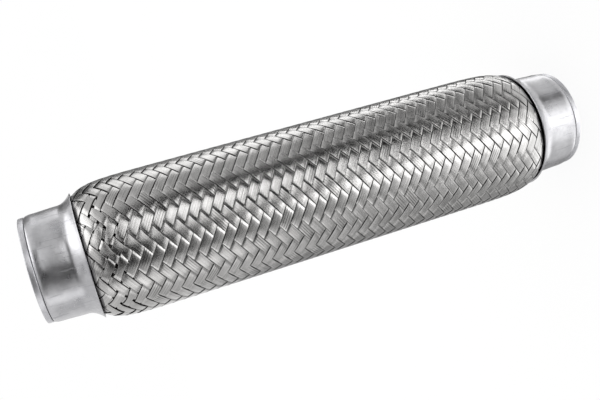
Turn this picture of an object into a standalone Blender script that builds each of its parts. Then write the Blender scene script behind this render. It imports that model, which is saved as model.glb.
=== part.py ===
"""Braided exhaust flex pipe, standing on its lower mouth. Metres, +Z up, origin at the lower mouth's centre.

From the outside in: two end caps that flare over the ends of a woven wire braid, a corrugated bellows
under the braid, a liner wound from interlocking strip inside the bellows, and a ring in each mouth.
"""
import math

import bmesh
import bpy

MM = 0.001

# The whole pipe
PIPE_LENGTH = 300.0 * MM
BORE_RADIUS = 24.9 * MM
FIT_GAP = 0.4 * MM
ROUND_SIDES = 48
HIDDEN_SIDES = 16

# Inner rings, one in each mouth
RING_WALL = 0.9 * MM
RING_DEPTH = 9.0 * MM
RING_CHAMFER = 0.4 * MM
LIP_HEIGHT = 2.6 * MM
LIP_STEP = 0.7 * MM

# End caps, measured from their own mouth
CAP_WALL = 1.25 * MM
CAP_HEIGHT = 26.6 * MM
NECK_HEIGHT = 14.5 * MM
SHOULDER_ROUND = 1.4 * MM
FLARE_REACH = 4.85 * MM
FLARE_POWER = 1.2
FLARE_STEPS = 4

# Outer braid. Its strands run in two directions, and each passes over two and under two of the others
STRAND_PAIRS = 12
BRAID_REPEATS = 42
BRAID_WALL = 1.5 * MM
BRAID_RELIEF = 0.75 * MM
BRAID_TURN = -6.0
GAP_ROWS_FROM_TOP = (3, 5)
GAP_SIDE = 1.2 * MM
TUCK_STEPS = 3
BRAID_CRUSHED_WALL = 0.5 * MM
BRAID_EDGE_GAP = 0.75 * MM
BRAID_TAPER = 6.5 * MM

# Bellows, two thin sheets formed together
BELLOWS_WALL = 0.45 * MM
BELLOWS_FOLDS = 22
FOLD_HEIGHT = 5.6 * MM
FOLD_MARGIN = 11.4 * MM
CUFF_LENGTH = 10.0 * MM
CUFF_START_GAP = 0.5 * MM
BELLOWS_UNDER_BRAID = 0.45 * MM

# Liner wound from interlocking strip
LINER_WALL = 0.5 * MM
LINER_TURNS = 26
STRIP_HEIGHT = 2.2 * MM

# Sizes that follow from the ones above
SLEEVE_RADIUS = BORE_RADIUS + RING_WALL
NECK_INNER_RADIUS = SLEEVE_RADIUS + FIT_GAP
NECK_RADIUS = NECK_INNER_RADIUS + CAP_WALL
LIP_RADIUS = NECK_RADIUS - LIP_STEP
CUFF_RADIUS = NECK_INNER_RADIUS - FIT_GAP
CUFF_START = RING_DEPTH + CUFF_START_GAP
BRAID_TUCK_INNER = CUFF_RADIUS + FIT_GAP
BRAID_TUCK_RADIUS = BRAID_TUCK_INNER + BRAID_CRUSHED_WALL
BRAID_EDGE_RADIUS = NECK_INNER_RADIUS + FLARE_REACH - BRAID_EDGE_GAP
WEAVE_START = CAP_HEIGHT + FIT_GAP
COLUMNS = 4 * STRAND_PAIRS
BEND_CENTRE = PIPE_LENGTH / 2

# The folded stretch, worked out from the bore outwards: liner, bellows, braid
LINER_BORE = CUFF_RADIUS - BELLOWS_WALL - FIT_GAP - LINER_WALL
LINER_RADIUS = LINER_BORE + STRIP_HEIGHT
FOLDS_START = CAP_HEIGHT + FOLD_MARGIN
HALF_FOLD = (PIPE_LENGTH - 2 * FOLDS_START) / (2 * BELLOWS_FOLDS)
FOLD_THICKNESS = BELLOWS_WALL * math.hypot(FOLD_HEIGHT, HALF_FOLD) / HALF_FOLD
ROOT_RADIUS = LINER_RADIUS + FIT_GAP + FOLD_THICKNESS
CREST_RADIUS = ROOT_RADIUS + FOLD_HEIGHT
FIRST_CREST_TAPER = math.exp(-(FOLD_MARGIN + HALF_FOLD) / BRAID_TAPER)
BRAID_OVER_FIRST_CREST = CREST_RADIUS + BELLOWS_UNDER_BRAID + BRAID_WALL
BRAID_RADIUS = (BRAID_OVER_FIRST_CREST - BRAID_EDGE_RADIUS * FIRST_CREST_TAPER) / (1 - FIRST_CREST_TAPER)


def flare_share(height):
    """How far the flare has opened at a height above its own mouth, from 0 at the neck to 1 at the edge."""
    along = (height - NECK_HEIGHT) / (CAP_HEIGHT - NECK_HEIGHT)
    return min(max(along, 0.0), 1.0) ** FLARE_POWER


def cap_inner_radius(height):
    return NECK_INNER_RADIUS + FLARE_REACH * flare_share(height)


def braid_tuck_height():
    """The height inside the cap where the flare leaves just enough room for the crushed end of the braid."""
    share = (BRAID_TUCK_RADIUS + FIT_GAP - NECK_INNER_RADIUS) / FLARE_REACH
    return NECK_HEIGHT + (CAP_HEIGHT - NECK_HEIGHT) * share ** (1 / FLARE_POWER)


def tuck_share(height):
    """How far a height lies from the braid's crushed end, at 0, to the flare's edge, at 1."""
    start = braid_tuck_height()
    return min(max((height - start) / (CAP_HEIGHT - start), 0.0), 1.0)


def braid_radius(z):
    """The braid's outer radius: under the flares it follows the caps, then it rises to its full size."""
    from_mouth = min(z, PIPE_LENGTH - z)
    if from_mouth < CAP_HEIGHT:
        gap = FIT_GAP + (BRAID_EDGE_GAP - FIT_GAP) * tuck_share(from_mouth)
        return cap_inner_radius(from_mouth) - gap
    drop = BRAID_RADIUS - BRAID_EDGE_RADIUS
    from_lower = z - CAP_HEIGHT
    from_upper = PIPE_LENGTH - CAP_HEIGHT - z
    return BRAID_RADIUS - drop * (math.exp(-from_lower / BRAID_TAPER) + math.exp(-from_upper / BRAID_TAPER))


def braid_inner_radius(z):
    from_mouth = min(z, PIPE_LENGTH - z)
    wall = BRAID_CRUSHED_WALL + (BRAID_WALL - BRAID_CRUSHED_WALL) * tuck_share(from_mouth)
    return braid_radius(z) - wall


def new_material(name, colour, roughness, metallic):
    material = bpy.data.materials.new(name)
    material.use_nodes = True
    shader = material.node_tree.nodes["Principled BSDF"]
    shader.inputs["Base Color"].default_value = (*colour, 1.0)
    shader.inputs["Roughness"].default_value = roughness
    shader.inputs["Metallic"].default_value = metallic
    return material


def profile_mesh(name, points, material):
    """A closed outline of (radius, height) points in the XZ plane, ready to be turned about Z."""
    mesh = bpy.data.meshes.new(name)
    vertices = [(radius, 0.0, height) for radius, height in points]
    edges = [(i, (i + 1) % len(points)) for i in range(len(points))]
    mesh.from_pydata(vertices, edges, [])
    mesh.materials.append(material)
    return mesh


def turn(obj, sides):
    """Turns an outline into a solid ring of faces with a Screw modifier."""
    screw = obj.modifiers.new("Turn", "SCREW")
    screw.axis = "Z"
    screw.angle = math.tau
    screw.steps = sides
    screw.render_steps = sides
    screw.use_merge_vertices = True
    screw.merge_threshold = 0.00001
    screw.use_smooth_shade = True
    return obj


def new_object(name, mesh, collection, parent=None):
    obj = bpy.data.objects.new(name, mesh)
    collection.objects.link(obj)
    obj.parent = parent
    return obj


def ring_profile():
    """A sleeve with a thicker lip that stands out of the mouth. It runs down the outside, top to bottom."""
    return [
        (SLEEVE_RADIUS, RING_DEPTH),
        (SLEEVE_RADIUS, LIP_HEIGHT),
        (LIP_RADIUS, LIP_HEIGHT),
        (LIP_RADIUS, RING_CHAMFER),
        (LIP_RADIUS - RING_CHAMFER, 0.0),
        (BORE_RADIUS, 0.0),
        (BORE_RADIUS, RING_DEPTH),
    ]


def cap_profile():
    """A pressed shell: a rounded shoulder over the lip, a straight neck and a flare that opens to its edge."""
    mouth = LIP_HEIGHT + FIT_GAP
    flare = [NECK_HEIGHT + (CAP_HEIGHT - NECK_HEIGHT) * i / FLARE_STEPS for i in range(FLARE_STEPS + 1)]
    outer = [(cap_inner_radius(height) + CAP_WALL, height) for height in reversed(flare)]
    shoulder = [
        (NECK_RADIUS, mouth + SHOULDER_ROUND),
        (NECK_RADIUS - 0.3 * SHOULDER_ROUND, mouth + 0.3 * SHOULDER_ROUND),
        (NECK_RADIUS - 0.7 * SHOULDER_ROUND, mouth),
    ]
    inner = [(NECK_INNER_RADIUS, mouth)]
    inner += [(cap_inner_radius(height), height) for height in flare]
    return outer + shoulder + inner


def make_end_pieces(name, profile, material, collection, bend_centre):
    """The same turned piece at both ends: the upper one is turned over, and hangs on the bend's centre."""
    mesh = profile_mesh(name, profile, material)
    turn(new_object("lower_" + name, mesh, collection), ROUND_SIDES)
    upper = turn(new_object("upper_" + name, mesh, collection, bend_centre), ROUND_SIDES)
    upper.rotation_euler = (math.pi, 0.0, 0.0)
    upper.location = (0.0, 0.0, PIPE_LENGTH - BEND_CENTRE)


def bellows_profile():
    """V-shaped folds between two straight cuffs, as one thin wall."""
    cuff_end = CUFF_START + CUFF_LENGTH
    line = [(CUFF_RADIUS, CUFF_START, BELLOWS_WALL), (CUFF_RADIUS, cuff_end, BELLOWS_WALL)]
    for i in range(2 * BELLOWS_FOLDS + 1):
        radius = CREST_RADIUS if i % 2 else ROOT_RADIUS
        line.append((radius, FOLDS_START + i * HALF_FOLD, FOLD_THICKNESS))
    line.append((CUFF_RADIUS, PIPE_LENGTH - cuff_end, BELLOWS_WALL))
    line.append((CUFF_RADIUS, PIPE_LENGTH - CUFF_START, BELLOWS_WALL))
    outer = [(radius, z) for radius, z, wall in reversed(line)]
    inner = [(radius - wall, z) for radius, z, wall in line]
    return outer + inner


def liner_profile():
    """A smooth bore, and an outside stepped like overlapping turns of strip, under the bellows' folds."""
    pitch = (PIPE_LENGTH - 2 * FOLDS_START) / LINER_TURNS
    low = LINER_BORE + LINER_WALL
    outer = [(low, CUFF_START), (low, FOLDS_START)]
    for i in range(LINER_TURNS):
        turn_start = FOLDS_START + i * pitch
        outer.append((LINER_RADIUS, turn_start + 0.15 * pitch))
        outer.append((low, turn_start + pitch))
    outer.append((low, PIPE_LENGTH - CUFF_START))
    inner = [(LINER_BORE, CUFF_START), (LINER_BORE, PIPE_LENGTH - CUFF_START)]
    return outer[::-1] + inner


def weave_levels():
    """Heights of the woven part's rows of points, half a repeat apart."""
    rows = 2 * BRAID_REPEATS
    run = PIPE_LENGTH - 2 * WEAVE_START
    return [WEAVE_START + run * row / rows for row in range(rows + 1)]


def float_partner(column):
    """The other half of the float that a crossing belongs to, as a step in columns and rows.

    A float covers two crossings. In columns 0 and 1 of every four it climbs, and in columns 2 and 3 it falls.
    """
    return ((1, 1), (-1, -1), (1, -1), (-1, 1))[column % 4]


def weave_faces(rows):
    """Four triangles at each crossing, joined along the float so that it has one ridge over both crossings.

    The points form a grid. Where column and row add up to an even number the point is the top of a
    crossing, and the others are the low corners between crossings.
    """
    faces = []
    around = ((1, 0), (0, 1), (-1, 0), (0, -1))
    for row in range(rows + 1):
        for column in range(row % 2, COLUMNS, 2):
            step = float_partner(column)
            top = (column, row)
            for i, first in enumerate(around):
                second = around[(i + 1) % 4]
                if not (0 <= row + first[1] <= rows and 0 <= row + second[1] <= rows):
                    continue
                shared = (first[0] + second[0], first[1] + second[1]) == step
                last = step if shared else second
                corners = (top, (column + first[0], row + first[1]), (column + last[0], row + last[1]))
                faces.append([(c % COLUMNS, r) for c, r in corners])
    return faces


def make_gap_bars(cutters):
    """Bars that point outwards where four strands meet near the upper cap, with sides along the strands."""
    form = bmesh.new()
    levels = weave_levels()
    step = math.tau / COLUMNS
    for from_top in GAP_ROWS_FROM_TOP:
        row = len(levels) - 1 - from_top
        z = levels[row]
        radius = braid_radius(z)
        slope = math.atan2(radius * step, levels[1] - levels[0])
        half_turn = GAP_SIDE * math.sin(slope) / radius
        half_height = GAP_SIDE * math.cos(slope)
        for column in range((row + 1) % 2, COLUMNS, 2):
            middle = column * step + math.radians(BRAID_TURN)
            ends = []
            for reach in (braid_inner_radius(z) - BRAID_WALL, radius + BRAID_WALL):
                corners = []
                for across, rise in ((1, 0), (0, 1), (-1, 0), (0, -1)):
                    turned = middle + across * half_turn
                    place = (reach * math.cos(turned), reach * math.sin(turned), z + rise * half_height)
                    corners.append(form.verts.new(place))
                ends.append(corners)
            inside, outside = ends
            form.faces.new(inside[::-1])
            form.faces.new(outside)
            for i in range(4):
                k = (i + 1) % 4
                form.faces.new((inside[i], inside[k], outside[k], outside[i]))
    mesh = bpy.data.meshes.new("braid_gaps")
    form.to_mesh(mesh)
    form.free()
    return new_object("braid_gaps", mesh, cutters)


def make_braid(material, collection, cutters):
    """A woven outside, closed at both ends, with its inside cut out by a turned form."""
    form = bmesh.new()
    levels = weave_levels()
    rows = len(levels) - 1
    angle = math.tau / COLUMNS

    def ring(radius_at, z):
        points = []
        for column in range(COLUMNS):
            radius = radius_at(column)
            turn_by = column * angle + math.radians(BRAID_TURN)
            points.append(form.verts.new((radius * math.cos(turn_by), radius * math.sin(turn_by), z)))
        return points

    def woven_radius(column, row):
        high = (column + row) % 2 == 0 and 0 < row < rows
        return braid_radius(levels[row]) - (0.0 if high else BRAID_RELIEF)

    grid = [ring(lambda column, row=row: woven_radius(column, row), z) for row, z in enumerate(levels)]
    for corners in weave_faces(rows):
        form.faces.new([grid[row][column] for column, row in corners])

    start = braid_tuck_height()
    tuck = [start + (CAP_HEIGHT - start) * i / TUCK_STEPS for i in range(TUCK_STEPS)]
    lower = [ring(lambda column, z=z: braid_radius(z), z) for z in tuck] + [grid[0]]
    upper = [ring(lambda column, z=z: braid_radius(z), PIPE_LENGTH - z) for z in tuck] + [grid[-1]]
    for below, above in list(zip(lower, lower[1:])) + [(a, b) for b, a in zip(upper, upper[1:])]:
        for i in range(COLUMNS):
            k = (i + 1) % COLUMNS
            form.faces.new((below[i], below[k], above[k], above[i]))
    form.faces.new(lower[0][::-1])
    form.faces.new(upper[0])
    mesh = bpy.data.meshes.new("outer_braid")
    form.to_mesh(mesh)
    form.free()
    mesh.materials.append(material)
    mesh.shade_smooth()
    mesh.set_sharp_from_angle(angle=math.radians(30))
    braid = new_object("outer_braid", mesh, collection)

    near = tuck + [CAP_HEIGHT + BRAID_TAPER * share for share in (0.0, 0.3, 0.7, 1.3, 2.2, 4.0)]
    heights = near + [PIPE_LENGTH - z for z in near[::-1]]
    inner = [(braid_inner_radius(z), z) for z in heights]
    past = BRAID_WALL
    inner = [(inner[0][0], start - past)] + inner + [(inner[-1][0], PIPE_LENGTH - start + past)]
    outline = [(0.0, PIPE_LENGTH - start + past)] + inner[::-1] + [(0.0, start - past)]
    cutter_mesh = bpy.data.meshes.new("braid_inside")
    cutter_mesh.from_pydata([(r, 0.0, z) for r, z in outline], [(i, i + 1) for i in range(len(outline) - 1)], [])
    cutter = turn(new_object("braid_inside", cutter_mesh, cutters), HIDDEN_SIDES)
    for cut_name, form in (("Inside", cutter), ("Gaps", make_gap_bars(cutters))):
        form.hide_render = True
        form.display_type = "WIRE"
        cut = braid.modifiers.new(cut_name, "BOOLEAN")
        cut.operation = "DIFFERENCE"
        cut.solver = "EXACT"
        cut.object = form
    return braid


def main():
    for obj in list(bpy.data.objects):
        bpy.data.objects.remove(obj, do_unlink=True)
    parts = bpy.data.collections.new("exhaust_flex_pipe")
    cutters = bpy.data.collections.new("cutters")
    bpy.context.scene.collection.children.link(parts)
    bpy.context.scene.collection.children.link(cutters)

    bend_centre = new_object("bend_centre", None, parts)
    bend_centre.location = (0.0, 0.0, BEND_CENTRE)

    cap_steel = new_material("cap_steel", (0.62, 0.62, 0.65), 0.32, 1.0)
    ring_steel = new_material("ring_steel", (0.55, 0.55, 0.57), 0.38, 1.0)
    braid_steel = new_material("braid_steel", (0.66, 0.65, 0.63), 0.28, 1.0)
    bellows_steel = new_material("bellows_steel", (0.58, 0.58, 0.58), 0.3, 1.0)
    liner_steel = new_material("liner_steel", (0.5, 0.5, 0.5), 0.35, 1.0)

    make_end_pieces("end_cap", cap_profile(), cap_steel, parts, bend_centre)
    make_end_pieces("inner_ring", ring_profile(), ring_steel, parts, bend_centre)
    make_braid(braid_steel, parts, cutters)
    bellows = profile_mesh("bellows", bellows_profile(), bellows_steel)
    turn(new_object("bellows", bellows, parts), HIDDEN_SIDES)
    liner = profile_mesh("interlock_liner", liner_profile(), liner_steel)
    turn(new_object("interlock_liner", liner, parts), HIDDEN_SIDES)


main()
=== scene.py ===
"""Looks of the braided exhaust flex pipe: 48 woven strands of fine wire, pressed caps, rings, bellows, liner.

All pieces are surfaces worked out on grids round the pipe's axis, Z. Lengths are in metres.
"""
import math

import bpy
import numpy as np
from mathutils import Matrix, Vector


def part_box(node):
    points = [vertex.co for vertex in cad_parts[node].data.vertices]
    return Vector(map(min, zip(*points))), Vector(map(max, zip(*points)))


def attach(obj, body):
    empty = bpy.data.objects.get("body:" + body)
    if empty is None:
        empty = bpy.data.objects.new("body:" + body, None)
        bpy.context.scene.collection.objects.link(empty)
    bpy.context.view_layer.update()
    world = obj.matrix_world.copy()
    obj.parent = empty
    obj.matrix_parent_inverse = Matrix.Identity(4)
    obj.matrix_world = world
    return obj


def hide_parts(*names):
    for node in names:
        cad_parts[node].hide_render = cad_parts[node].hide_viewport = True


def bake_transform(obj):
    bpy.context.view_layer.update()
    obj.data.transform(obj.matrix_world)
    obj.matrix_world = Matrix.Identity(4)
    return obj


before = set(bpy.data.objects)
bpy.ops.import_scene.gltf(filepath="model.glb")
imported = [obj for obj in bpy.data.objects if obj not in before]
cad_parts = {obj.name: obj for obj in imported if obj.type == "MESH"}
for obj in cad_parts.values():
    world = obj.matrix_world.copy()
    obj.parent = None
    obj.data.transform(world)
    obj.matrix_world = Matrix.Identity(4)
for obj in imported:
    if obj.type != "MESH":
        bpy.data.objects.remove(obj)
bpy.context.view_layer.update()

MM = 0.001

# Sizes read from the frame
PIPE_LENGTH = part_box("upper_inner_ring")[1][2]
CAP_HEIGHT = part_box("lower_end_cap")[1][2]
CAP_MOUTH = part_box("lower_end_cap")[0][2]
FLARE_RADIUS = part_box("lower_end_cap")[1][0]
LIP_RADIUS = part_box("lower_inner_ring")[1][0]
RING_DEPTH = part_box("lower_inner_ring")[1][2]
TUCK_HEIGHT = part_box("outer_braid")[0][2]
CUFF_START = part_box("bellows")[0][2]
CREST_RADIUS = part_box("bellows")[1][0]
LINER_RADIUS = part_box("interlock_liner")[1][0]

# Sizes that the part's source has too
FIT_GAP = 0.4 * MM
BORE_RADIUS = 24.9 * MM
RING_WALL = 0.9 * MM
CAP_WALL = 1.25 * MM
FLARE_REACH = 4.85 * MM
STRANDS = 24
BRAID_REPEATS = 42
BRAID_TURN = math.radians(-6.0)
BRAID_WALL = 1.5 * MM
BRAID_EDGE_GAP = 0.75 * MM
BRAID_TAPER = 6.5 * MM
BELLOWS_WALL = 0.45 * MM
BELLOWS_FOLDS = 22
FOLD_HEIGHT = 5.6 * MM
FOLD_MARGIN = 11.4 * MM
CUFF_LENGTH = 10.0 * MM
LINER_WALL = 0.5 * MM
LINER_TURNS = 26

# Rings and caps, as the photo shows them
LIP_HEIGHT = 2.8 * MM
RING_ROUNDING = 0.45 * MM
RING_ROUNDING_POINTS = 6
LONGEST_ROUNDING = 0.45
NECK_SPREAD = 0.09
NECK_SPREAD_START = 7.0 * MM
FLARE_START = 19.0 * MM
FLARE_POINTS = 44
SHOULDER_DEPTH = 0.9 * MM
SHOULDER_POINTS = 14
CAP_SIDES = 160

# Braid
BRAID_RADIUS = 35.7 * MM
BRAID_CRUSHED_WALL = 0.4 * MM
BRAID_TUCK_GAP = 0.15 * MM
BRAID_SWELL_START = 22.0 * MM
STRAND_FILL = 0.975
STRAND_THICK = 0.28
WEAVE_SWING = 0.18
WEAVE_SOFTNESS = 0.04
EARLY_DIVE = 0.07
WIRES = 12
WIRE_GROUPS = 4
SAMPLES_PER_CROSSING = 4
SAMPLE_CROWDING = 0.75
SECTION_U = np.array([0.02, 0.06, 0.10, 0.44, 0.78, 0.82, 0.86, 0.89, 0.95, 0.98])

# Unevenness of the strands: slow waves, in strand widths, and a loose place next to the upper cap
DRIFT_WAVES = np.array([5.0, 9.0, 17.0])
DRIFT_SIZES = np.array([1.0, 0.8, 0.5])
DRIFT_EVERYWHERE = 0.012
DRIFT_WHERE_LOOSE = 0.035
DRIFT_RISE = 8 * MM
LOOSE_FROM_CAP = 11 * MM
LOOSE_REACH = 8 * MM
LOOSE_RISE_PACE = 3
NARROWER = 0.14
PINCH = 0.38
PINCH_PACE = 1.9
PINCH_SHARE = (0.3, 1.0)
FILL_SPREAD = (-0.02, 0.01)
SAG = (-0.05 * MM, -0.02 * MM)

# Bellows and liner
BELLOWS_SIDES = 64
FOLD_POINTS = 12
FOLD_SOFTNESS = 0.35
LINER_SIDES = 96
LINER_POINTS = 11
LINER_LEAD = 1.5 * MM
LINER_FADE = 2 * MM
LINER_RISE_SHARE = 0.2
LINER_FALL_SHARE = 0.5
LINER_FALL_POWER = 0.6
GROOVE_DEPTH = 0.35 * MM
GROOVE_PLACE = 0.5
GROOVE_WIDTH = 0.09
GROOVE_FADE = 3 * MM

# Studio and camera, in metres and millimetres of focal length; the camera was fitted to the photograph
FLOOR_HALF = 6.0
FLOOR_WHITE = 1.02
FLOOR_WHITE_SHARE = 0.85
STUDIO_RADIUS = 2.5
PANEL_STEP = 0.02
PANEL_POINTS = 13
CAMERA_LENS = 45.43
CAMERA_PLACE = (0.0, -0.3941, 0.2604)
CAMERA_BACK = (0.00947, -0.96915, 0.24638)
CAMERA_RIGHT = (-0.28355, -0.23890, -0.92873)

SLEEVE_RADIUS = BORE_RADIUS + RING_WALL
NECK_INNER_RADIUS = SLEEVE_RADIUS + FIT_GAP
NECK_RADIUS = NECK_INNER_RADIUS + CAP_WALL
WEAVE_START = CAP_HEIGHT + FIT_GAP
CROSSING_RISE = (PIPE_LENGTH - 2 * WEAVE_START) / (2 * BRAID_REPEATS)
EDGE_RADIUS = FLARE_RADIUS - CAP_WALL - BRAID_EDGE_GAP
TURN_STEP = math.pi / STRANDS


def grid_mesh(name, points, close_rows=False, close_columns=True, fields=None, cap_ends=False, bake_u=None):
    """A mesh from an array of points, rows by columns by 3, with each neighbouring four joined as a face.

    close_rows joins the last row to the first, close_columns the last column to the first. A leading
    axis, if there is one, holds separate strips. fields are named values, one for each point. cap_ends
    closes a strip's first and last row with a face. bake_u, one place for each column and one for the
    first column met again, makes a UV map with the strips side by side.
    """
    points = np.asarray(points, float)
    if points.ndim == 3:
        points = points[None]
    strips, rows, columns, _ = points.shape
    index = np.arange(strips * rows * columns).reshape(strips, rows, columns)
    near = index if close_rows else index[:, :-1]
    far = np.roll(index, -1, 1) if close_rows else index[:, 1:]
    if close_columns:
        quads = np.stack([near, np.roll(near, -1, 2), np.roll(far, -1, 2), far], -1)
    else:
        quads = np.stack([near[..., :-1], near[..., 1:], far[..., 1:], far[..., :-1]], -1)
    quads = quads.reshape(-1, 4)
    corners = [quads.ravel()]
    sizes = [np.full(len(quads), 4)]
    if cap_ends:
        first = index[:, 0, ::-1]
        last = index[:, -1]
        corners += [first.ravel(), last.ravel()]
        sizes += [np.full(2 * strips, columns)]
    corners = np.concatenate(corners)
    sizes = np.concatenate(sizes)
    mesh = bpy.data.meshes.new(name)
    mesh.vertices.add(points.size // 3)
    mesh.vertices.foreach_set("co", points.astype(np.float32).ravel())
    mesh.loops.add(len(corners))
    mesh.loops.foreach_set("vertex_index", corners.astype(np.int32))
    mesh.polygons.add(len(sizes))
    starts = np.concatenate([[0], np.cumsum(sizes)[:-1]])
    mesh.polygons.foreach_set("loop_start", starts.astype(np.int32))
    mesh.polygons.foreach_set("use_smooth", np.ones(len(sizes), bool))
    for field, values in (fields or {}).items():
        attribute = mesh.attributes.new(field, "FLOAT", "POINT")
        full = np.broadcast_to(values, points.shape[:3])
        attribute.data.foreach_set("value", full.astype(np.float32).ravel())
    mesh.update(calc_edges=True)
    mesh.validate()
    if bake_u is not None:
        counts = np.arange(strips), np.arange(rows - 1), np.arange(columns)
        strip, row, column = np.meshgrid(*counts, indexing="ij")
        across = np.stack([column, column + 1, column + 1, column], -1)
        u = (strip[..., None] + bake_u[across]) / strips
        v = np.stack([row, row, row + 1, row + 1], -1) / (rows - 1)
        places = np.stack([u, v], -1).reshape(-1, 2)
        ends = np.zeros((len(corners) - len(places), 2))
        layer = mesh.uv_layers.new(name="OFBake")
        layer.data.foreach_set("uv", np.concatenate([places, ends]).astype(np.float32).ravel())
    return mesh


def new_piece(name, mesh, material):
    """An object in the scene, with its material."""
    mesh.materials.append(material)
    obj = bpy.data.objects.new(name, mesh)
    bpy.context.scene.collection.objects.link(obj)
    return obj


def flare_share(height):
    """How far the flare has opened, from 0 to 1.

    The neck spreads a little on the way, as a smooth step, and the flare then opens late, as a square.
    """
    along = np.clip((height - NECK_SPREAD_START) / (FLARE_START - NECK_SPREAD_START), 0, 1)
    late = np.clip((height - FLARE_START) / (CAP_HEIGHT - FLARE_START), 0, 1)
    return NECK_SPREAD * along * along * (3 - 2 * along) + (1 - NECK_SPREAD) * late * late


def swell_share(z):
    """0 where the braid is tucked in flat under a cap, 1 from the flare's edge on."""
    from_mouth = np.minimum(z, PIPE_LENGTH - z)
    return np.clip((from_mouth - BRAID_SWELL_START) / (CAP_HEIGHT - BRAID_SWELL_START), 0, 1)


def braid_radius(z):
    """The braid's outer radius: it follows the caps under the flares, then rises to its full size.

    Outside the flares it is the full radius less two falls, one from each flare, that die away along
    the pipe.
    """
    from_mouth = np.minimum(z, PIPE_LENGTH - z)
    gap = BRAID_TUCK_GAP + (BRAID_EDGE_GAP - BRAID_TUCK_GAP) * swell_share(z)
    under = NECK_INNER_RADIUS + FLARE_REACH * flare_share(from_mouth) - gap
    low = np.maximum(z - CAP_HEIGHT, 0)
    high = np.maximum(PIPE_LENGTH - CAP_HEIGHT - z, 0)
    fall = (BRAID_RADIUS - EDGE_RADIUS) * (np.exp(-low / BRAID_TAPER) + np.exp(-high / BRAID_TAPER))
    return np.where(from_mouth < CAP_HEIGHT, under, BRAID_RADIUS - fall)


def braid_wall(z):
    """The braid's thickness: crushed where it is tucked in, full from the flares' edges on."""
    return BRAID_CRUSHED_WALL + (BRAID_WALL - BRAID_CRUSHED_WALL) * swell_share(z)


def strand_section():
    """Across and height of one strand's outline, both from -1 to 1: a flat top with rounded edges."""
    across = np.array([1.0, 0.95, 0.86, 0.0, -0.86, -0.95, -1.0, -0.9, 0.9])
    height = np.array([0.2, 0.88, 1.0, 1.0, 1.0, 0.88, 0.2, -1.0, -1.0])
    return across, height


def strand_mesh(name, climbs, rng):
    """All strands of one direction, laid out on a slanting lattice.

    A place on the braid has a rising number and a falling number: rising strands have whole rising
    numbers, falling strands whole falling numbers. Their sum counts columns round the pipe and their
    difference rows along it. A strand keeps near its own number while the other one runs on. Its height
    follows the cosine of a quarter turn for each strand that it crosses, less a little so that it dives
    before it meets an edge, and sharpened so that the floats lie flat. Samples crowd where it dives.
    Strands drift off their numbers in a few slow waves, and lie loose and narrower near the upper cap.
    """
    first = (TUCK_HEIGHT - WEAVE_START) / CROSSING_RISE
    last = 2 * BRAID_REPEATS - first
    hand = 1.0 if climbs else -1.0
    even = np.linspace(first, last, int((last - first) * SAMPLES_PER_CROSSING) + 1)
    row = even + SAMPLE_CROWDING / math.pi * np.sin(math.pi * (even - 0.5 * hand))
    row[0] = first
    row[-1] = last
    row = row[None, :, None]
    strand = np.arange(STRANDS)[:, None, None]
    across, height = strand_section()
    across = across[None, None, :]
    height = height[None, None, :]

    z = WEAVE_START + row * CROSSING_RISE
    from_mouth = np.minimum(z, PIPE_LENGTH - z)
    free = np.clip((from_mouth - CAP_HEIGHT) / DRIFT_RISE, 0, 1)
    slant = np.clip((from_mouth - TUCK_HEIGHT) / (CAP_HEIGHT - TUCK_HEIGHT), 0, 1)
    loose_z = PIPE_LENGTH - CAP_HEIGHT - LOOSE_FROM_CAP
    loose = np.exp(-(((z - loose_z) / LOOSE_REACH) ** 2)) * np.minimum(free * LOOSE_RISE_PACE, 1)

    phase = rng.uniform(0, 2 * math.pi, (STRANDS, 1, 1, 3))
    size = rng.normal(0, 1, (STRANDS, 1, 1, 3)) * DRIFT_SIZES
    turns = row[..., None] / (last - first) * DRIFT_WAVES
    drift = (size * np.sin(2 * math.pi * turns + phase)).sum(-1)
    drift = drift * (DRIFT_EVERYWHERE + DRIFT_WHERE_LOOSE * loose) * free
    pinch = np.sin(row * PINCH_PACE + rng.uniform(0, 6.28, (STRANDS, 1, 1)))
    pinch = pinch * rng.uniform(*PINCH_SHARE, (STRANDS, 1, 1))
    narrower = (NARROWER + PINCH * np.maximum(pinch, 0)) * loose
    fill = STRAND_FILL + rng.uniform(*FILL_SPREAD, (STRANDS, 1, 1)) - narrower
    beside = across * fill / 2 + drift
    own = strand + beside
    crossed = strand + hand * row + beside * (1 - slant)
    column = own + crossed
    row_here = (crossed - own) * hand
    swing = np.cos((strand + crossed - 0.5) * math.pi / 2) * hand - EARLY_DIVE
    swing = swing / np.sqrt(swing * swing + WEAVE_SOFTNESS)

    z_here = WEAVE_START + row_here * CROSSING_RISE
    angle = column * TURN_STEP + BRAID_TURN
    wall = braid_wall(z_here)
    thick = STRAND_THICK * wall
    middle = braid_radius(z_here) - WEAVE_SWING * wall - thick / 2
    sag = rng.uniform(*SAG, (STRANDS, row.shape[1], 1))
    reach = middle + swing * WEAVE_SWING * wall + height * thick / 2 + sag
    points = np.stack([reach * np.cos(angle), reach * np.sin(angle), z_here + 0 * reach], -1)
    fields = {
        "across": across + 0 * reach,
        "along": row + 0 * reach,
        "strand": strand + 0 * reach + (0 if climbs else STRANDS),
    }
    if climbs:
        return grid_mesh(name, points, fields=fields, cap_ends=True, bake_u=SECTION_U)
    flipped = {field: values[:, :, ::-1] for field, values in fields.items()}
    closing = SECTION_U[-1] - SECTION_U[-2]
    flipped_u = np.append(1 - SECTION_U[-2::-1] - closing, 1 - SECTION_U[0])
    return grid_mesh(name, points[:, :, ::-1], fields=flipped, cap_ends=True, bake_u=flipped_u)


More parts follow.
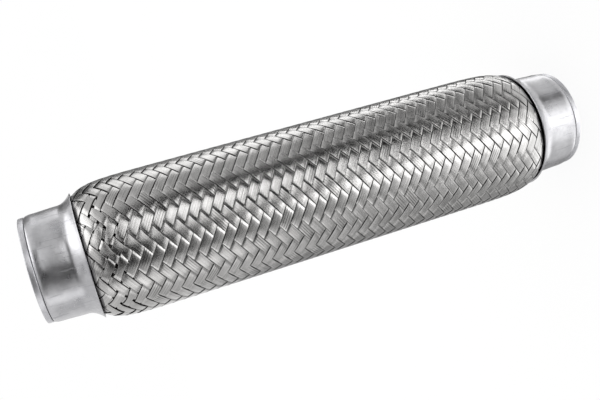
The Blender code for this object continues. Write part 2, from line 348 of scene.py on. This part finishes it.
def round_outline(points, steps, reach):
    """A closed outline with each of its corners replaced by a short curve, as a quadratic Bezier.

    A curve takes no more than a set share of the sides that it joins, so that two never meet.
    """
    points = np.asarray(points, float)
    before = np.roll(points, 1, 0) - points
    after = np.roll(points, -1, 0) - points
    length_before = np.linalg.norm(before, axis=1, keepdims=True)
    length_after = np.linalg.norm(after, axis=1, keepdims=True)
    start = points + before / length_before * np.minimum(reach, length_before * LONGEST_ROUNDING)
    end = points + after / length_after * np.minimum(reach, length_after * LONGEST_ROUNDING)
    t = np.linspace(0, 1, steps)[None, :, None]
    curve = (1 - t) ** 2 * start[:, None] + 2 * t * (1 - t) * points[:, None] + t * t * end[:, None]
    return curve.reshape(-1, 2)


def turned_mesh(name, outline, sides):
    """A closed outline of (radius, height), listed down its outer side, turned round Z."""
    outline = np.asarray(outline, float)
    angle = np.linspace(0, 2 * math.pi, sides, endpoint=False)[None, :]
    radius = outline[:, :1]
    height = outline[:, 1:] + 0 * angle
    points = np.stack([radius * np.cos(angle), radius * np.sin(angle), height], -1)[::-1]
    return grid_mesh(name, points, close_rows=True)


def upside_down(outline):
    """The same outline at the pipe's other end, still listed down its outer side."""
    outline = np.asarray(outline, float)
    return np.stack([outline[:, 0], PIPE_LENGTH - outline[:, 1]], -1)[::-1]


def cap_outline():
    """The pressed cap: a rounded shoulder, a neck and a flare, as one even wall."""
    heights = np.linspace(CAP_HEIGHT, NECK_SPREAD_START, FLARE_POINTS)
    flare = NECK_RADIUS + FLARE_REACH * flare_share(heights)
    turn = np.linspace(0, math.pi / 2, SHOULDER_POINTS)
    shoulder_radius = flare[-1] - SHOULDER_DEPTH * (1 - np.cos(turn))
    shoulder_height = CAP_MOUTH + (heights[-1] - CAP_MOUTH) * (1 - np.sin(turn))
    outer = np.concatenate([
        np.stack([flare, heights], -1),
        np.stack([shoulder_radius, shoulder_height], -1)[1:],
    ])
    inside = heights[::-1]
    inner = np.stack([NECK_INNER_RADIUS + FLARE_REACH * flare_share(inside), inside], -1)
    mouth = np.array([[NECK_INNER_RADIUS, CAP_MOUTH]])
    return np.concatenate([outer, mouth, inner])


def ring_outline():
    """A sleeve inside the cap with a thicker lip in front of it."""
    corners = [
        (SLEEVE_RADIUS, RING_DEPTH),
        (SLEEVE_RADIUS, LIP_HEIGHT),
        (LIP_RADIUS, LIP_HEIGHT),
        (LIP_RADIUS, 0.0),
        (BORE_RADIUS, 0.0),
        (BORE_RADIUS, RING_DEPTH),
    ]
    return round_outline(corners, RING_ROUNDING_POINTS, RING_ROUNDING)


def bellows_outline():
    """Rounded folds between two cuffs: the radius follows a cosine with flattened crests and roots."""
    start = CAP_HEIGHT + FOLD_MARGIN
    z = np.linspace(start, PIPE_LENGTH - start, BELLOWS_FOLDS * FOLD_POINTS + 1)
    wave = -np.cos((z - start) / (PIPE_LENGTH - 2 * start) * BELLOWS_FOLDS * 2 * math.pi)
    wave = wave / np.sqrt(wave * wave + FOLD_SOFTNESS) * math.sqrt(1 + FOLD_SOFTNESS)
    radius = CREST_RADIUS - FOLD_HEIGHT / 2 + wave * FOLD_HEIGHT / 2
    cuff = SLEEVE_RADIUS
    cuff_end = CUFF_START + CUFF_LENGTH
    low = np.array([[cuff, CUFF_START], [cuff, cuff_end]])
    high = np.array([[cuff, PIPE_LENGTH - cuff_end], [cuff, PIPE_LENGTH - CUFF_START]])
    line = np.concatenate([low, np.stack([radius, z], -1), high])
    step = np.gradient(line, axis=0)
    out = np.stack([step[:, 1], -step[:, 0]], -1)
    out /= np.linalg.norm(out, axis=1, keepdims=True)
    inner = line - out * BELLOWS_WALL
    return np.concatenate([line[::-1], inner])


def liner_mesh(name):
    """A strip-wound tube: outside and bore step once for each turn, and the steps climb round the pipe.

    At a place z the share of a turn is z over the pitch less the angle over a full turn. The outside rises
    over the first part of each turn, stays and slopes away, and the bore has a narrow groove half a turn
    on. The steps fade out at both ends of the folds, and the groove at the lower cuff.
    """
    start = CAP_HEIGHT + FOLD_MARGIN
    pitch = (PIPE_LENGTH - 2 * start) / LINER_TURNS
    bore = SLEEVE_RADIUS - BELLOWS_WALL - FIT_GAP - LINER_WALL
    first = CUFF_START + LINER_LEAD
    z = np.concatenate([
        [CUFF_START],
        np.linspace(first, PIPE_LENGTH - first, LINER_TURNS * LINER_POINTS),
        [PIPE_LENGTH - CUFF_START],
    ])[:, None]
    angle = np.linspace(0, 2 * math.pi, LINER_SIDES, endpoint=False)[None, :]
    share = (z / pitch - angle / (2 * math.pi)) % 1.0
    along = np.clip(np.minimum(z - start, PIPE_LENGTH - start - z) / LINER_FADE, 0, 1)
    fall = np.clip((1 - share) / LINER_FALL_SHARE, 0, 1) ** LINER_FALL_POWER
    rise = np.clip(share / LINER_RISE_SHARE, 0, 1) * fall
    outside = bore + LINER_WALL + (LINER_RADIUS - bore - LINER_WALL) * rise * along
    groove = np.exp(-(((share - GROOVE_PLACE) / GROOVE_WIDTH) ** 2))
    inside = bore + GROOVE_DEPTH * groove * np.clip((z - CUFF_START) / GROOVE_FADE, 0, 1)
    inside = inside * np.ones_like(angle)
    radius = np.concatenate([outside[::-1] * np.ones_like(angle), inside])
    height = np.concatenate([z[::-1], z]) * np.ones_like(angle)
    points = np.stack([radius * np.cos(angle), radius * np.sin(angle), height], -1)[::-1]
    return grid_mesh(name, points, close_rows=True)


class Wire:
    """A shader value that can be used in plain Python sums."""

    def __init__(self, board, socket):
        self.board = board
        self.socket = socket

    def _math(self, operation, *others):
        return self.board.node("ShaderNodeMath", {"operation": operation}, dict(enumerate([self, *others])))

    def __add__(self, other):
        return self._math("ADD", other)

    def __sub__(self, other):
        return self._math("SUBTRACT", other)

    def __rsub__(self, other):
        return self.board.node("ShaderNodeMath", {"operation": "SUBTRACT"}, {0: other, 1: self})

    def __mul__(self, other):
        return self._math("MULTIPLY", other)

    __radd__ = __add__

    def fraction(self):
        return self._math("FRACT")

    def floor(self):
        return self._math("FLOOR")

    def clamp(self):
        return self.board.node("ShaderNodeClamp", {}, {0: self})

    def root(self):
        return self._math("SQRT")


class Board:
    """One material's node tree, with a Principled shader."""

    def __init__(self, name):
        self.material = bpy.data.materials.new(name)
        self.material.use_nodes = True
        self.tree = self.material.node_tree
        self.shader = self.tree.nodes["Principled BSDF"]

    def node(self, kind, settings=None, inputs=None, output=0):
        """A new node: settings are its own values, inputs feed its sockets, and one output comes back."""
        made = self.tree.nodes.new(kind)
        for key, value in (settings or {}).items():
            if key == "stops":
                for i, (place, colour) in enumerate(value):
                    stop = made.color_ramp.elements[i] if i < 2 else made.color_ramp.elements.new(place)
                    stop.position = place
                    stop.color = (*colour, 1.0)
            else:
                setattr(made, key, value)
        for key, value in (inputs or {}).items():
            self.feed(made.inputs[key], value)
        return Wire(self, made.outputs[output])

    def feed(self, socket, value):
        """A shader value is joined to the socket, and a plain one is set on it."""
        if isinstance(value, Wire):
            self.tree.links.new(value.socket, socket)
        else:
            socket.default_value = value

    def field(self, name):
        """One of the named values that the mesh has for each point."""
        return self.node("ShaderNodeAttribute", {"attribute_name": name}, output=2)

    def place(self, scale=(1, 1, 1), turn=(0, 0, 0)):
        """The place on the object, stretched and turned."""
        spot = self.node("ShaderNodeTexCoord", output=3)
        return self.node("ShaderNodeMapping", {}, {"Vector": spot, "Rotation": turn, "Scale": scale})

    def noise(self, scale, detail=3.0, vector=None, rough=0.5):
        inputs = {"Scale": scale, "Detail": detail, "Roughness": rough}
        inputs["Vector"] = vector if vector is not None else self.place()
        return self.node("ShaderNodeTexNoise", {}, inputs)

    def set(self, **values):
        """Feeds the shader's own sockets, named with underscores for spaces."""
        for key, value in values.items():
            self.feed(self.shader.inputs[key.replace("_", " ")], value)
        return self.material

    def bump(self, height, distance, strength):
        inputs = {"Height": height, "Distance": distance, "Strength": strength}
        normal = self.node("ShaderNodeBump", {}, inputs)
        self.feed(self.shader.inputs["Normal"], normal)


def braid_material(name, climbs):
    """Bright wire: each wire is a low ridge across the strand, with its own slight tone.

    The surface is smoother along the wires than across them, so the shader's grain is turned to the
    strand. In a few places the wires part into groups, and painted shade draws a dark line between
    them; painted shade also darkens a strand's edges, as the shade between neighbouring strands. The
    numbers that the noises are read at keep strands and wires apart.
    """
    board = Board(name)
    across = board.field("across")
    strand = board.field("strand")
    along = board.field("along")
    lane = (across * 0.5 + 0.5) * WIRES
    spot = lane.fraction() * 2.0 - 1.0
    ridge = (1.001 - spot * spot).root()
    wire = lane.floor()
    tone_at = board.node("ShaderNodeCombineXYZ", {}, {0: wire * 7.31, 1: strand * 3.7, 2: along * 0.12})
    tone = board.noise(1.0, 1.0, tone_at)
    strand_at = board.node("ShaderNodeCombineXYZ", {}, {0: strand * 5.1, 1: along * 0.22, 2: 0.0})
    strand_tone = board.noise(1.0, 2.0, strand_at)
    shade = (tone * 0.5 + strand_tone * 0.5).clamp()
    colour = board.node(
        "ShaderNodeValToRGB",
        {"stops": [(0.3, (0.32, 0.316, 0.312)), (0.7, (0.52, 0.513, 0.506))]},
        {0: shade},
    )
    # Painted shade: where a noise passes a level, a dark line is painted between groups of wires, as the
    # shade in a gap where the wires part.
    spread_at = board.node("ShaderNodeCombineXYZ", {}, {0: strand * 9.7, 1: along * 0.3, 2: 4.0})
    spread = ((board.noise(1.0, 1.0, spread_at) - 0.57) * 10.0).clamp()
    group = ((across * 0.5 + 0.5) * WIRE_GROUPS).fraction() * 2.0 - 1.0
    parting_shade = ((group * group - 0.55) * 5.0).clamp() * spread
    # Painted shade: a strand's edges are darkened toward near black, as the shade in the gaps between
    # neighbouring strands, which also dulls the highlights on their rounded rims.
    edge = ((across * across - 0.8) * 9.0).clamp()
    # The painted shade at the edges and between parted wire groups is multiplied into the wire colour.
    colour = board.node(
        "ShaderNodeMix",
        {"data_type": "RGBA", "blend_type": "MULTIPLY"},
        {0: (edge * 0.97 + parting_shade * 0.7).clamp(), 6: colour, 7: (0.05, 0.05, 0.05, 1)},
        output=2,
    )
    board.bump(ridge, 0.12 * MM, 0.2)
    lean = math.degrees(math.atan2(CROSSING_RISE, BRAID_RADIUS * TURN_STEP)) / 360
    turned = 0.25 + (lean if climbs else -lean)
    board.set(Anisotropic=0.4, Anisotropic_Rotation=turned)
    return board.set(Base_Color=colour, Metallic=1.0, Roughness=0.11 + strand_tone * 0.12)


def cap_material():
    """Pressed stainless sheet: satin, mottled, with fine scratches.

    A scratch is where a noise that is drawn out along one slanting direction passes a high level.
    """
    board = Board("cap_sheet")
    mottle = board.noise(140.0, 4.0, rough=0.6)
    broad = board.noise(45.0, 2.0)
    grain = board.noise(520.0, 3.0, rough=0.65)
    scratches = 0.0
    for turn in ((0.5, 0.7, 0.2), (-0.6, 0.3, 1.1)):
        drawn = board.place((1300.0, 45.0, 45.0), turn)
        scratches = scratches + ((board.noise(1.0, 1.0, drawn) - 0.68) * 22.0).clamp()
    shade = (mottle * 0.4 + broad * 0.35 + grain * 0.25).clamp()
    colour = board.node(
        "ShaderNodeValToRGB",
        {"stops": [(0.34, (0.37, 0.37, 0.385)), (0.66, (0.55, 0.548, 0.56))]},
        {0: shade - scratches * 0.2},
    )
    board.bump(broad * 0.5 + mottle * 0.5 + grain * 0.2 - scratches * 0.25, 0.25 * MM, 0.5)
    return board.set(Base_Color=colour, Metallic=1.0, Roughness=0.2 + mottle * 0.2)


def plain_steel(name, dark, light, roughness):
    """Steel with a faint mottle between two tones."""
    board = Board(name)
    mottle = board.noise(220.0, 3.0)
    colour = board.node("ShaderNodeValToRGB", {"stops": [(0.3, dark), (0.7, light)]}, {0: mottle})
    board.bump(mottle, 0.08 * MM, 0.4)
    return board.set(Base_Color=colour, Metallic=1.0, Roughness=roughness + mottle * 0.15)


def make_pipe():
    """All pieces, each in place of the node that it stands for; the caps and rings hang from the body of
    their end.
    """
    rng = np.random.default_rng(7)
    for name, climbs in (("rising_strands", True), ("falling_strands", False)):
        wire_steel = braid_material(name + "_wire", climbs)
        strands = new_piece(name, strand_mesh(name, climbs, rng), wire_steel)
        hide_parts("outer_braid")
        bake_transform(strands)

    bellows_steel = plain_steel("bellows_sheet", (0.30, 0.29, 0.28), (0.42, 0.41, 0.40), 0.35)
    folds = turned_mesh("bellows_folds", bellows_outline(), BELLOWS_SIDES)
    bellows = new_piece("bellows_folds", folds, bellows_steel)
    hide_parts("bellows")
    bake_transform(bellows)

    liner_steel = plain_steel("liner_strip", (0.42, 0.42, 0.42), (0.58, 0.58, 0.58), 0.3)
    liner = new_piece("liner_windings", liner_mesh("liner_windings"), liner_steel)
    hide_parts("interlock_liner")
    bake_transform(liner)

    cap_steel = cap_material()
    ring_steel = plain_steel("ring_sheet", (0.46, 0.46, 0.48), (0.60, 0.60, 0.62), 0.3)
    for end, place in (("lower", lambda outline: outline), ("upper", upside_down)):
        shell = turned_mesh(end + "_cap_shell", place(cap_outline()), CAP_SIDES)
        cap = new_piece(end + "_cap_shell", shell, cap_steel)
        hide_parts(end + "_end_cap")
        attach(cap, end + "_end")
        sleeve = turned_mesh(end + "_mouth_ring", place(ring_outline()), CAP_SIDES)
        ring = new_piece(end + "_mouth_ring", sleeve, ring_steel)
        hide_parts(end + "_inner_ring")
        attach(ring, end + "_end")


def glow_material(name, strength):
    """Plain light of one strength, the same in all directions."""
    board = Board(name)
    glow = board.node("ShaderNodeEmission", {}, {"Color": (1, 1, 1, 1), "Strength": strength})
    board.feed(board.tree.nodes["Material Output"].inputs["Surface"], glow)
    board.material.cycles.emission_sampling = "NONE"
    return board.material


def make_floor():
    """A pale floor that shows white to the camera, and keeps the object's shadow as a share of that white."""
    half = FLOOR_HALF
    points = np.array([[[-half, -half, 0], [half, -half, 0]], [[-half, half, 0], [half, half, 0]]])
    mesh = grid_mesh("floor", points, close_columns=False)
    board = Board("pale_floor")
    board.set(Base_Color=(0.92, 0.92, 0.92, 1), Roughness=0.9)
    glow = board.node("ShaderNodeEmission", {}, {"Color": (1, 1, 1, 1), "Strength": FLOOR_WHITE})
    seen = board.node("ShaderNodeLightPath", output=0)
    plain = Wire(board, board.shader.outputs[0])
    mixed = board.node("ShaderNodeMixShader", {}, {0: seen * FLOOR_WHITE_SHARE, 1: plain, 2: glow})
    output = board.tree.nodes["Material Output"]
    board.feed(output.inputs["Surface"], mixed)
    mesh.materials.append(board.material)
    floor = bpy.data.objects.new("floor", mesh)
    bpy.context.scene.collection.objects.link(floor)
    floor.visible_glossy = False


def make_world():
    """White all round, for the camera, for the floor and in the metal."""
    world = bpy.data.worlds.new("studio")
    bpy.context.scene.world = world
    world.use_nodes = True
    background = world.node_tree.nodes["Background"]
    background.inputs["Color"].default_value = (1, 1, 1, 1)
    background.inputs["Strength"].default_value = 1.0
    world.cycles.sampling_method = "NONE"


def studio_panel(name, azimuths, elevations, strength, reach):
    """A soft box, or a dark card, as a piece of a ball round the object that only its metal can show.

    The azimuth is counted in degrees from the camera's side, -Y, toward +X, and the elevation from level.
    """
    azimuth = np.radians(np.linspace(*azimuths, PANEL_POINTS))[None, :]
    elevation = np.radians(np.linspace(*elevations, PANEL_POINTS))[:, None]
    level = np.cos(elevation)
    points = np.stack([
        level * np.sin(azimuth),
        -level * np.cos(azimuth),
        np.sin(elevation) + 0 * azimuth,
    ], -1) * reach
    points[..., 2] += PIPE_LENGTH / 2
    mesh = grid_mesh(name, points, close_columns=False)
    mesh.materials.append(glow_material(name, strength))
    panel = bpy.data.objects.new(name, mesh)
    bpy.context.scene.collection.objects.link(panel)
    panel.visible_camera = False
    panel.visible_diffuse = False
    panel.visible_transmission = False
    panel.visible_shadow = False


def make_studio():
    """Soft boxes and dark cards, named for where they stand as the pipe sees them when it faces the camera.

    A row has the name, the azimuths and the elevations in degrees, and the strength. Each panel is
    nearer than the one before, so that it covers what lies behind it.
    """
    panels = (
        ("back_card", (-180, -120), (-50, -6), 0.45),
        ("low_fill", (-140, 40), (-90, -50), 2.0),
        ("low_front", (-60, 20), (-50, -32), 2.1),
        ("low_right_card", (-120, -40), (-32, -18), 0.4),
        ("level_right_card", (-120, -80), (-6, 10), 0.75),
        ("front_box", (0, 20), (-18, 10), 1.65),
        ("front_bright_box", (20, 40), (-18, 10), 2.35),
        ("front_low_card", (-40, 0), (-18, -6), 0.75),
        ("left_high_box", (20, 120), (35, 90), 2.6),
        ("left_box", (100, 160), (-18, 10), 1.75),
        ("left_low_box", (120, 140), (-50, -6), 2.5),
        ("left_low_card", (60, 120), (-32, -18), 0.2),
        ("left_middle_card", (60, 100), (-18, 10), 0.68),
        ("stripe_card", (40, 60), (-50, 10), 0.03),
        ("low_middle_card", (0, 40), (-32, -18), 0.05),
        ("camera_card", (-40, 20), (10, 35), 0.08),
        ("upper_strip_card", (20, 40), (10, 35), 0.1),
        ("level_card", (-40, 0), (-6, 10), 0.03),
        ("right_card", (-60, -40), (10, 90), 0.4),
        ("right_box", (-80, -60), (-6, 35), 1.75),
        ("back_left_card", (120, 160), (10, 35), 0.15),
        ("left_corner_card", (140, 180), (-50, -18), 0.15),
        ("key_box", (-20, 0), (-50, -18), 3.4),
        ("edge_card", (134, 180), (-24, 10), 0.28),
    )
    for i, (name, azimuths, elevations, strength) in enumerate(panels):
        studio_panel(name, azimuths, elevations, strength, STUDIO_RADIUS - PANEL_STEP * i)


def make_camera():
    """The photograph's camera, level with the upper half and rolled so that the pipe lies across the picture.

    Its frame is made square from where its back and its right point.
    """
    camera = bpy.data.cameras.new("camera")
    camera.lens = CAMERA_LENS
    camera.sensor_width = 36.0
    camera.sensor_fit = "HORIZONTAL"
    camera.clip_start = 0.01
    obj = bpy.data.objects.new("camera", camera)
    bpy.context.scene.collection.objects.link(obj)
    back = Vector(CAMERA_BACK).normalized()
    right = Vector(CAMERA_RIGHT)
    right = (right - back * right.dot(back)).normalized()
    up = back.cross(right)
    turn = Matrix((right, up, back)).transposed().to_4x4()
    obj.matrix_world = Matrix.Translation(CAMERA_PLACE) @ turn
    bpy.context.scene.camera = obj


make_pipe()
make_floor()
make_world()
make_studio()
make_camera()
bpy.context.scene.view_settings.view_transform = "Standard"
